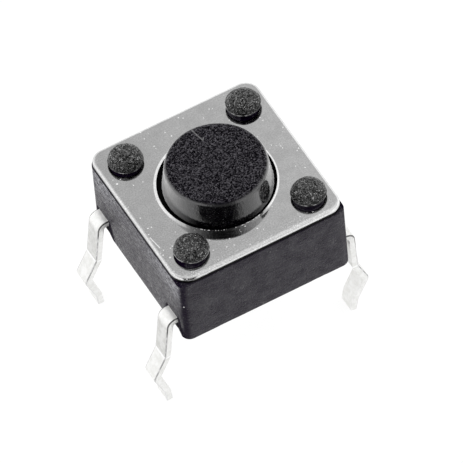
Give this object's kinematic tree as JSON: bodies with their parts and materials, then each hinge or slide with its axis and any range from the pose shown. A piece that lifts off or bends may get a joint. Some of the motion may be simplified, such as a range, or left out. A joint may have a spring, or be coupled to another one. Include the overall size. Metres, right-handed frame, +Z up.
{
  "type": "tactile push button switch",
  "caption": "Square through-hole tactile switch with a round push button, a riveted steel cover and folded leads.",
  "frame": {"origin": "centre of the body's underside, on the board's upper face", "axes": "+Z up through the button, X across the two walls that the leads leave, Y along the rows of leads on each wall"},
  "size_m": [0.0078, 0.006, 0.007],
  "materials": {
    "body_plastic": "black moulded nylon, satin, matt and grainy on the melted heads",
    "button_plastic": "black moulded nylon with a finely sparked top",
    "cover_steel": "satin stainless sheet with rolled edges",
    "dome_steel": "bright spring steel",
    "terminal_tin": "matt tin plating on brass strip"
  },
  "bodies": {
    "housing": {"base": "body_plastic", "terminal_outer": "terminal_tin", "terminal_centre": "terminal_tin", "snap_dome": "dome_steel", "cover_plate": "cover_steel"},
    "button": {"plunger": "button_plastic"}
  },
  "joints": [
    {"name": "button_travel", "type": "slide", "parent": "housing", "child": "button", "axis": [0, 0, -1], "range_m": [0, 0.00025], "stiffness_N_per_m": 6300, "deforming": ["snap_dome"]}
  ]
}
